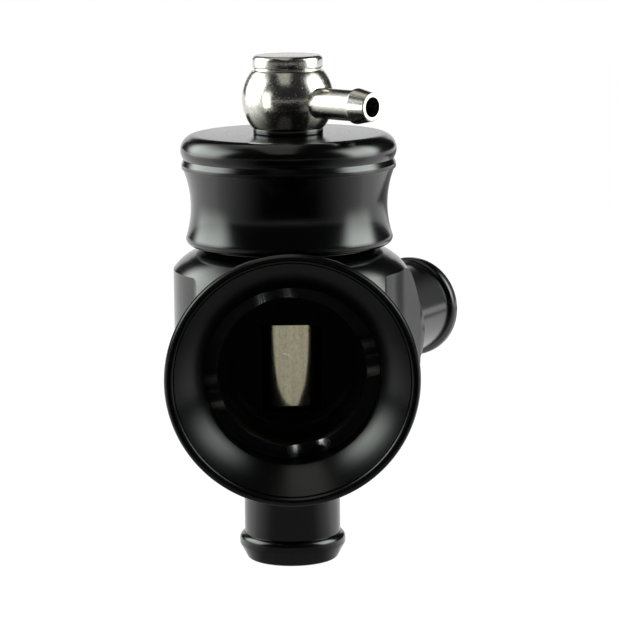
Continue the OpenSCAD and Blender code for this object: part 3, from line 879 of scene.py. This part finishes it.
dressing = (
    (body, "body", "valve_body", "anodised_black", axis_black),
    (cap, "cap", "valve_body", "anodised_black", axis_black),
    (trumpet, "trumpet", "valve_body", "anodised_black", trumpet_black),
    (nut, "trumpet_ring_nut", "valve_body", "anodised_black", trumpet_black),
    (inlet, "inlet_tail", "valve_body", "anodised_black", axis_black),
    (recirc, "recirc_tail", "valve_body", "anodised_black", recirc_black),
    (bolt, "banjo_bolt", "valve_body", "nickel", nickel),
    (upper_washer, "upper_washer", "valve_body", "nickel", nickel),
    (lower_washer, "lower_washer", "valve_body", "anodised_black", axis_black),
    (banjo, "banjo_fitting", "banjo", "nickel", nickel),
    (piston, "piston", "piston", "champagne", champagne),
    (spring, "spring", "valve_body", "spring_steel", wire),
)
for piece, node, carrier, slot, material in dressing:
    dye(piece, material)
    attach(piece, carrier)
    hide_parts(node)
inner = {"spring_washer": wire, "piston_wear_ring": polymer}
inner.update({node: rubber for node in frame["nodes"] if node.endswith("o_ring")})
for node, material in inner.items():
    dye(frame["nodes"][node], material)
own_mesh(spring)
print("dressed:", len(dressing), "pieces and", len(inner), "inner solids")

# %% [markdown]
# ## Studio
# The valve stands on white paper, with a low white backdrop behind it. Black metal shows little but its
# reflections, so the shapes of the paper and the lamps matter more than their strength: the dark front of the room
# keeps the middle of every turned face black, and the backdrop's low edge keeps the shoulders dark.

# %% Floor and world


def studio_white(name, glow):
    """White paper that reads as white in the picture and in the metal, and still takes a faint shadow."""
    material, nodes, links, shader = new_material(name)
    nodes.remove(shader)
    paper = nodes.new("ShaderNodeBsdfDiffuse")
    paper.inputs["Color"].default_value = (0.9, 0.9, 0.9, 1)
    light = nodes.new("ShaderNodeEmission")
    light.inputs["Strength"].default_value = 1 / glow
    path = nodes.new("ShaderNodeLightPath").outputs
    seen = maths(material, "MAXIMUM", path["Is Camera Ray"], path["Is Glossy Ray"])
    also = maths(material, "MAXIMUM", seen, path["Is Transmission Ray"])
    mix = nodes.new("ShaderNodeMixShader")
    links.new(maths(material, "MULTIPLY", also, glow), mix.inputs["Fac"])
    links.new(paper.outputs[0], mix.inputs[1])
    links.new(light.outputs[0], mix.inputs[2])
    links.new(mix.outputs[0], nodes["Material Output"].inputs["Surface"])
    return material


PAPER = studio_white("studio paper", 0.92)


def sheet(name, size, centre, turn, material):
    """Flat sheet of the set, given by its size, its middle and a turn about the X axis."""
    bpy.ops.object.select_all(action="DESELECT")
    bpy.ops.mesh.primitive_plane_add(size=1, location=centre, rotation=(math.radians(turn), 0, 0))
    piece = bpy.context.object
    piece.name = name
    piece.scale = (*size, 1)
    bpy.ops.object.transform_apply(location=True, rotation=True, scale=True)
    piece.data.materials.append(material)
    return piece


floor_z = tail_foot * MM
sheet("studio_floor", (12, 12), (0, 0, floor_z), 0, PAPER)
sheet("studio_backdrop", (1.3, 0.6), (0, 1.6, floor_z + 0.3), 90, PAPER)

world = bpy.data.worlds.new("dim room")
bpy.context.scene.world = world
world.use_nodes = True
world.node_tree.nodes["Background"].inputs["Color"].default_value = (0.02, 0.02, 0.022, 1)
print("floor at", round(tail_foot, 2), "mm")

# %% [markdown]
# A black cloth lies on the floor in front of the valve, as on a real set, so that the bell's mouth doesn't mirror
# white paper. A second one, half clear, lies behind on the right, where the flat side of the rear boss would mirror
# the paper too brightly. Only reflections see them.

# %% Black cloth
near_band = (0.1, 0.15)
near_clear = 0.14


def feathered_cloth(name, dark_to, clear_from):
    """Black cloth that fades out with the angle from straight in front, in degrees, and a little near the valve."""
    material, nodes, links, cloth = new_material(name)
    cloth.inputs["Base Color"].default_value = (0.01, 0.01, 0.01, 1)
    cloth.inputs["Roughness"].default_value = 1
    cloth.inputs["Specular IOR Level"].default_value = 0
    place = nodes.new("ShaderNodeTexCoord").outputs["Object"]
    split = nodes.new("ShaderNodeSeparateXYZ")
    reach = nodes.new("ShaderNodeVectorMath")
    reach.operation = "LENGTH"
    links.new(place, split.inputs[0])
    links.new(place, reach.inputs[0])
    side = maths(material, "ABSOLUTE", split.outputs["X"])
    ahead = maths(material, "MULTIPLY", split.outputs["Y"], -1)
    fade_span = (math.radians(dark_to), math.radians(clear_from))
    fade = spread(material, maths(material, "ARCTAN2", side, ahead), 0, 1, fade_span, "SMOOTHSTEP")
    near = spread(material, reach.outputs["Value"], near_clear, 0, near_band)
    mix = nodes.new("ShaderNodeMixShader")
    links.new(maths(material, "MAXIMUM", fade, near), mix.inputs["Fac"])
    links.new(cloth.outputs[0], mix.inputs[1])
    links.new(nodes.new("ShaderNodeBsdfTransparent").outputs[0], mix.inputs[2])
    links.new(mix.outputs[0], nodes["Material Output"].inputs["Surface"])
    return material


cloth_reach = 2.5
cloth_z = floor_z + 0.3 * MM
flag = sheet("black_flag", (2 * cloth_reach, cloth_reach), (0, -cloth_reach / 2, cloth_z), 0,
             feathered_cloth("black cloth", 22, 120))
rear_flag = sheet("rear_black_flag", (0.32, 0.8), (0.26, 0.65, cloth_z), 0,
                  feathered_cloth("half-clear black cloth", 100, 260))
for cloth in (flag, rear_flag):
    cloth.visible_camera = cloth.visible_shadow = cloth.visible_diffuse = False
print("the cloth reaches", cloth_reach, "m forwards")

# %% [markdown]
# A softbox is brightest in its middle and fades towards its frame, and polished metal shows that fade. So a lamp
# may carry a small node tree that dims it near its edges.

# %% Lamp helpers


def light_group(name, pieces, state="INCLUDE"):
    """Collection that links a lamp to some pieces, or keeps it off them."""
    group = bpy.data.collections.new(name)
    for piece in pieces:
        group.objects.link(piece)
    for entry in group.collection_objects:
        entry.light_linking.link_state = state
    return group


def feather(lamp, feathers):
    """Fade an area lamp towards its edges. Each feather is a share of the half width or half height."""
    lamp.use_nodes = True
    nodes, links = lamp.node_tree.nodes, lamp.node_tree.links
    split = nodes.new("ShaderNodeSeparateXYZ")
    links.new(nodes.new("ShaderNodeNewGeometry").outputs["Parametric"], split.inputs[0])
    fades = [spread(lamp, maths(lamp, "PINGPONG", across, 0.5), 0, 1, (0, share / 2), "SMOOTHSTEP")
             for across, share in zip(split.outputs, feathers)]
    links.new(maths(lamp, "MULTIPLY", *fades), nodes["Emission"].inputs["Strength"])


def softbox(name, azimuth, elevation, distance, size, radiance, feathers=None, tint=(1, 1, 1), linked=None):
    """Area lamp that faces the valve from two angles in degrees, with its distance and size in metres.

    Azimuth 0 is the camera's side and 90 is the right. A light group may link the lamp to some pieces.
    """
    turn, rise = math.radians(azimuth), math.radians(elevation)
    towards = Vector((math.sin(turn) * math.cos(rise), -math.cos(turn) * math.cos(rise), math.sin(rise)))
    lamp = bpy.data.lights.new(name, "AREA")
    lamp.shape = "RECTANGLE"
    lamp.size, lamp.size_y = size
    lamp.color = tint
    lamp.energy = radiance * math.pi * size[0] * size[1]
    if feathers:
        feather(lamp, feathers)
    box = bpy.data.objects.new(name, lamp)
    bpy.context.scene.collection.objects.link(box)
    box.location = Vector((0, 0, port_h * MM)) + towards * distance
    box.rotation_euler = towards.to_track_quat("Z", "Y").to_euler()
    box.light_linking.receiver_collection = linked
    return box


print("lamp helpers ready")

# %% [markdown]
# Two near boxes stand at the sides and a strip hangs overhead. The bell would mirror the side boxes along its whole
# flare, so flags keep them off it, and a higher pair lights only its lower half. Two dim bounces lift the cap's rear
# edge and the rear tail out of the dark.

# %% Softboxes
COOL = (0.93, 1.0, 0.95)
WARM = (0.99, 1.0, 0.9)
off_bell = light_group("flagged from the side boxes", [trumpet], "EXCLUDE")
on_bell = light_group("lit by the high pair", [trumpet])
softbox("left softbox", -102, 25, 0.4, (0.56, 0.54), 5.6, (0.6, 0.9), COOL, off_bell)
softbox("right softbox", 86, 25, 0.4, (0.4, 0.54), 6.6, (0.6, 0.9), COOL, off_bell)
softbox("left high box", -74, 30, 0.5, (0.42, 0.5), 4.8, (0.8, 0.9), COOL, on_bell)
softbox("right high box", 74, 30, 0.5, (0.42, 0.5), 2.9, (0.8, 0.9), COOL, on_bell)
overhead = softbox("overhead softbox", 0, 82, 0.9, (0.42, 1.5), 0.52, tint=WARM)
overhead.location.x -= 0.13
softbox("ceiling bounce", -122, 56, 0.9, (0.7, 0.5), 0.5, (0.5, 0.5))
softbox("tail bounce", 122, 6, 0.36, (0.5, 0.5), 0.28, (0.7, 0.9),
        linked=light_group("lit by the tail bounce", [recirc]))
print("five softboxes and two bounces")

# %% [markdown]
# The piston stands deep in the throat, where no softbox reaches it. A low fill in front lights it through the
# throat. Two small lamps pick out the walls of the nut's lower groove, and one at the left the barb's cone. Each lamp
# is linked to its piece alone, so that the other black pieces keep their dark front.

# %% Lamps for single pieces
throat_fill = softbox("throat fill", 0, -9, 0.12, (0.3, 0.066), 0.44, linked=light_group("lit by the fill", [piston]))
throat_fill.light_linking.blocker_collection = light_group("shades the fill", [body, trumpet, nut])
on_barb = light_group("lit by the barb lamp", [banjo])
softbox("barb lamp", -55, 5, 0.4, (0.18, 0.4), 3.2, (0.5, 0.6), COOL, on_barb)
on_nut = light_group("lit by the groove lamps", [nut])
softbox("left groove lamp", -38, -27, 0.1, (0.034, 0.015), 48, tint=COOL, linked=on_nut)
softbox("right groove lamp", 47, -9, 0.127, (0.05, 0.03), 15, tint=COOL, linked=on_nut)
print("the fill lights", piston.name, "and the groove lamps light", nut.name)

# %% [markdown]
# ## Camera
# A long lens keeps the bell round. The camera stands a little above the cap and looks down on the trumpet, and its
# aim, height and small roll were fitted to the edges of the turned pieces.

# %% Camera
image_size = 620
focal_px = 2938
camera_at = Vector((-6, -750, port_h + 135.6))
pitch = 9.5
roll = -0.57
valve_column = 290
yaw = math.degrees(math.atan2(-camera_at.x, -camera_at.y) + math.atan2(image_size / 2 - valve_column, focal_px))
lens = bpy.data.cameras.new("long lens")
lens.sensor_width = 36
lens.lens = lens.sensor_width * focal_px / image_size
lens.clip_start = 0.01
camera = bpy.data.objects.new("camera", lens)
bpy.context.scene.collection.objects.link(camera)
camera.matrix_world = (Matrix.Translation(camera_at * MM) @ Matrix.Rotation(math.radians(-yaw), 4, "Z")
                       @ Matrix.Rotation(math.radians(90 - pitch), 4, "X")
                       @ Matrix.Rotation(math.radians(roll), 4, "Z"))
bpy.context.scene.camera = camera
bpy.context.scene.view_settings.view_transform = "Standard"
print(f"lens {lens.lens:.1f} mm, turned {yaw:.2f} degrees")
